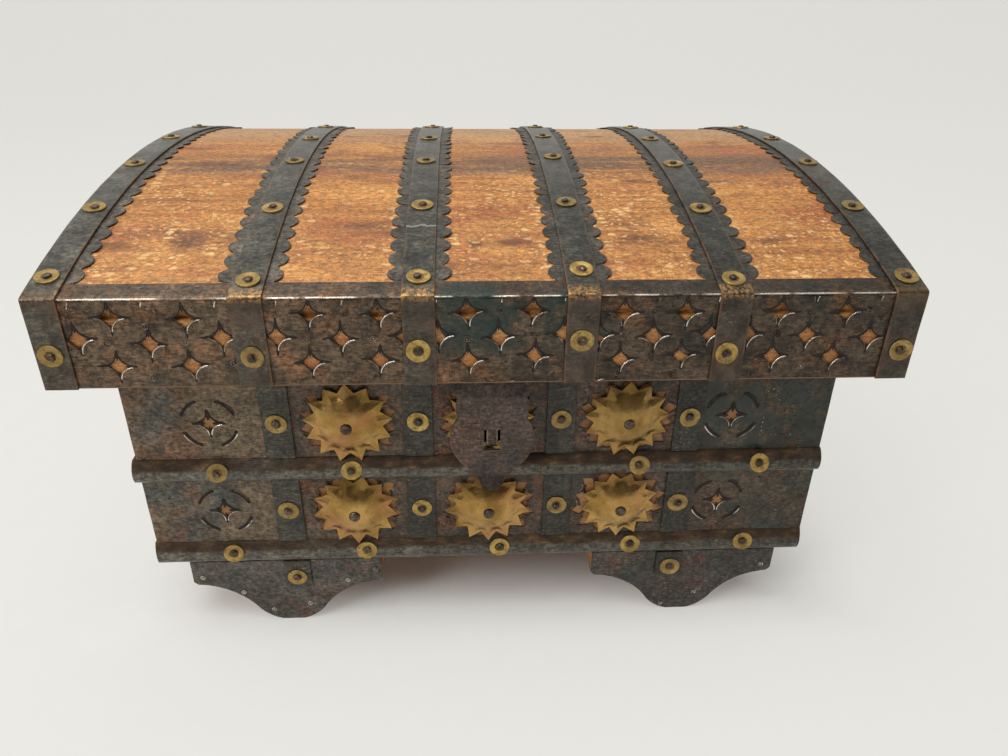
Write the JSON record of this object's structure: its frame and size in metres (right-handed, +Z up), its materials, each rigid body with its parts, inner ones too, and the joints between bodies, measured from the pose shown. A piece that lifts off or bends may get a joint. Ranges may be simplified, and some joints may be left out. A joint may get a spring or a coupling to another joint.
{
  "type": "dowry chest",
  "caption": "Wooden dowry chest on bracket feet with a barrel-topped hinged lid, bound in pierced sheet iron with straps, brass washers, star bosses and a hasp.",
  "frame": {"origin": "on the ground under the middle of the chest's outline", "axes": "+X to the right of a person who faces the front, +Y from the front to the back, +Z up"},
  "size_m": [0.45, 0.3808, 0.2655],
  "materials": {
    "lid_wood": "oiled, worn",
    "body_wood": "aged, unpolished",
    "pierced_iron": "rust-brown patina",
    "corner_iron": "rust-brown patina",
    "strap_iron": "slate-grey, rubbed",
    "foot_iron": "dark patina",
    "hasp_iron": "purple-brown patina",
    "nail_iron": "dark",
    "washer_brass": "tarnished",
    "boss_brass": "tarnished, rubbed bright on the points"
  },
  "bodies": {
    "body": {"bottom_board": "body_wood", "body_front_board": "body_wood", "body_back_board": "body_wood", "body_left_board": "body_wood", "body_right_board": "body_wood", "foot_front_left": "body_wood", "foot_front_right": "body_wood", "foot_back_left": "body_wood", "foot_back_right": "body_wood", "foot_plates": "foot_iron", "foot_strap_ends": "strap_iron", "corner_sheet_upper_left": "corner_iron", "corner_sheet_upper_right": "corner_iron", "corner_sheet_lower_left": "corner_iron", "corner_sheet_lower_right": "corner_iron", "pierced_panels_upper": "pierced_iron", "pierced_panels_lower": "pierced_iron", "body_straps_upper": "strap_iron", "body_straps_lower": "strap_iron", "middle_band": "strap_iron", "bottom_band": "strap_iron", "star_bosses": "boss_brass", "boss_nails": "nail_iron", "staple": "nail_iron", "body_washers": "washer_brass", "body_nails": "nail_iron", "hinge_body_leaves": "nail_iron", "hinge_pins": "nail_iron"},
    "lid": {"lid_front_rail": "lid_wood", "lid_back_rail": "lid_wood", "lid_left_end": "lid_wood", "lid_right_end": "lid_wood", "lid_plank_front": "lid_wood", "lid_plank_middle": "lid_wood", "lid_plank_back": "lid_wood", "lid_ledges": "body_wood", "lid_panel_1": "pierced_iron", "lid_panel_2": "pierced_iron", "lid_panel_3": "pierced_iron", "lid_panel_4": "pierced_iron", "lid_panel_5": "pierced_iron", "lid_strap_1": "strap_iron", "lid_strap_2": "strap_iron", "lid_strap_3": "strap_iron", "lid_strap_4": "strap_iron", "lid_strap_5": "strap_iron", "lid_strap_6": "strap_iron", "lid_scallop_1": "strap_iron", "lid_scallop_2": "strap_iron", "lid_scallop_3": "strap_iron", "lid_scallop_4": "strap_iron", "lid_scallop_5": "strap_iron", "lid_scallop_6": "strap_iron", "lid_washers": "washer_brass", "lid_nails": "nail_iron", "hinge_lid_leaves": "nail_iron", "hasp_leaf": "hasp_iron", "hasp_pin": "hasp_iron"},
    "hasp": {"hasp_plate": "hasp_iron"}
  },
  "joints": [
    {"name": "lid_hinge", "type": "hinge", "parent": "body", "child": "lid", "pos_m": [0, 0.18625, 0.20015], "axis": [-1, 0, 0], "range_deg": [0, 100]},
    {"name": "hasp_swing", "type": "hinge", "parent": "lid", "child": "hasp", "pos_m": [0.0035, -0.17375, 0.185], "axis": [-1, 0, 0], "range_deg": [-5, 70]}
  ]
}
